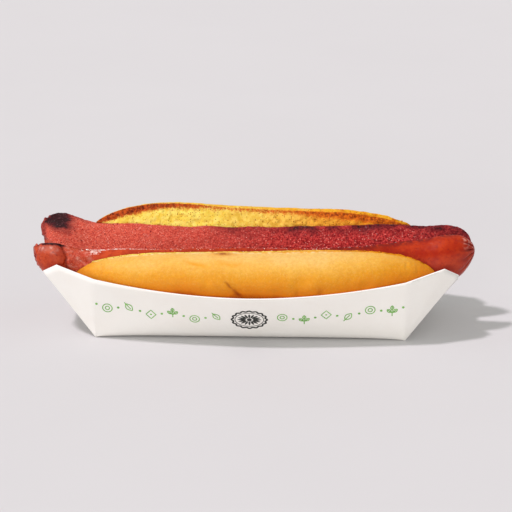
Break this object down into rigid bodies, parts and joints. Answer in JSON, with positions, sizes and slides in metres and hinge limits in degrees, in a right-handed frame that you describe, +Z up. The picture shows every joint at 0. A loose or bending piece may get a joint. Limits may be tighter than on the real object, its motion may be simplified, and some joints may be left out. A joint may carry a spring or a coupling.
{
  "type": "hot dog",
  "caption": "Split grilled sausage in a toasted long bun, standing in a folded paper tray with flared ends.",
  "frame": {"origin": "bottom centre of the tray, on the surface that it stands on", "axes": "+X along the sausage, -Y the tray's printed front wall, +Z up"},
  "size_m": [0.185, 0.0784, 0.0441],
  "materials": {
    "white_card": "uncoated white board, matt",
    "golden_bread": "baked golden crust, satin; yellow toasted crumb inside",
    "grilled_sausage": "grilled, glossy red skin with a rough cut face and charred edges"
  },
  "bodies": {
    "root": {"tray": "white_card", "bun": "golden_bread", "sausage": "grilled_sausage"}
  },
  "joints": []
}
